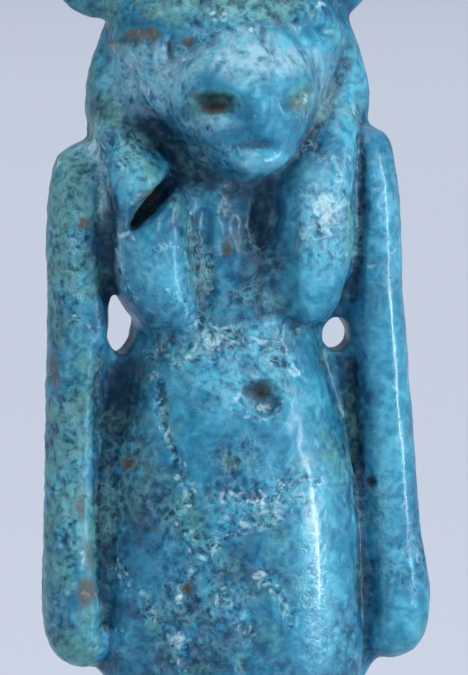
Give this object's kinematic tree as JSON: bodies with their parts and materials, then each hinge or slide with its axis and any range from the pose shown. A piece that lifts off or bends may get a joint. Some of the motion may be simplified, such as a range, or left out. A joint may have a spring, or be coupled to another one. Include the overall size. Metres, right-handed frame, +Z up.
{
  "type": "lioness-headed goddess figurine",
  "caption": "Small standing goddess with a lioness head, long wig and narrow dress, moulded in one piece with a back pillar and a low base, in weathered blue glaze.",
  "frame": {"origin": "centre of the base's flat underside", "axes": "+Z up the figure, which faces -Y, with +X to the viewer's right"},
  "size_m": [0.0215, 0.0168, 0.0702],
  "materials": {
    "blue_glaze": "weathered glossy copper-blue glaze with pale crackle, pits and brown deposits"
  },
  "bodies": {
    "root": {"lioness_goddess_figurine": "blue_glaze"}
  },
  "joints": []
}
